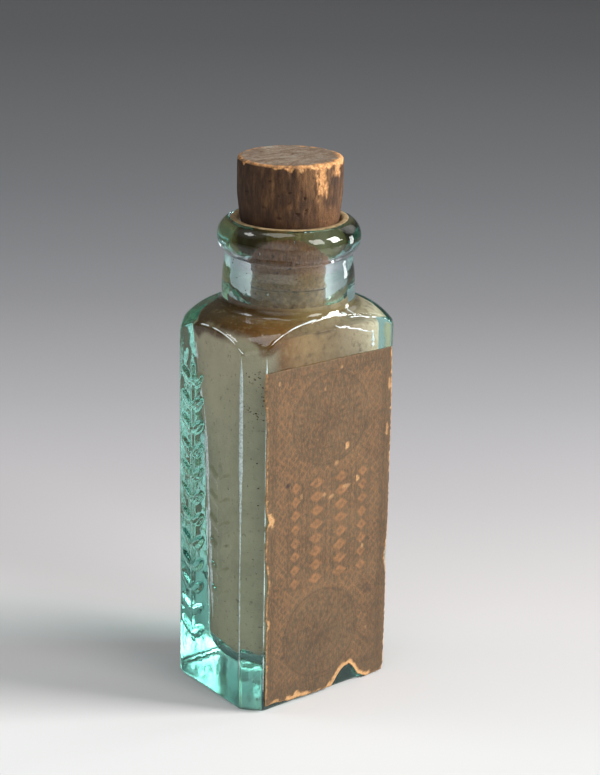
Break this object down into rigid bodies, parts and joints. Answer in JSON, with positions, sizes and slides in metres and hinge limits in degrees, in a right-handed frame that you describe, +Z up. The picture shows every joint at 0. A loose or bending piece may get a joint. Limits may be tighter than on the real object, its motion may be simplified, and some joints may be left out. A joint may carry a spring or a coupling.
{
  "type": "medicine bottle",
  "caption": "Small rectangular aqua glass medicine bottle with cut corners, domed shoulder, rounded lip, tapered cork, torn paper label and dry powder inside.",
  "frame": {"origin": "centre of the base, on the surface the bottle stands on", "axes": "+Z up along the axis of the neck, +X towards the right side panel, -Y out of the front panel that carries the label"},
  "size_m": [0.034, 0.0246, 0.0954],
  "materials": {
    "aqua_glass": "polished",
    "cork": "matte",
    "label_paper": "matte",
    "powder": "matte"
  },
  "bodies": {
    "bottle": {"bottle_glass": "aqua_glass", "front_label": "label_paper", "powder_contents": "powder"},
    "cork": {"cork_stopper": "cork"}
  },
  "joints": [
    {"name": "cork_lift", "type": "slide", "parent": "bottle", "child": "cork", "axis": [0, 0, 1], "range_m": [0, 0.032]}
  ]
}
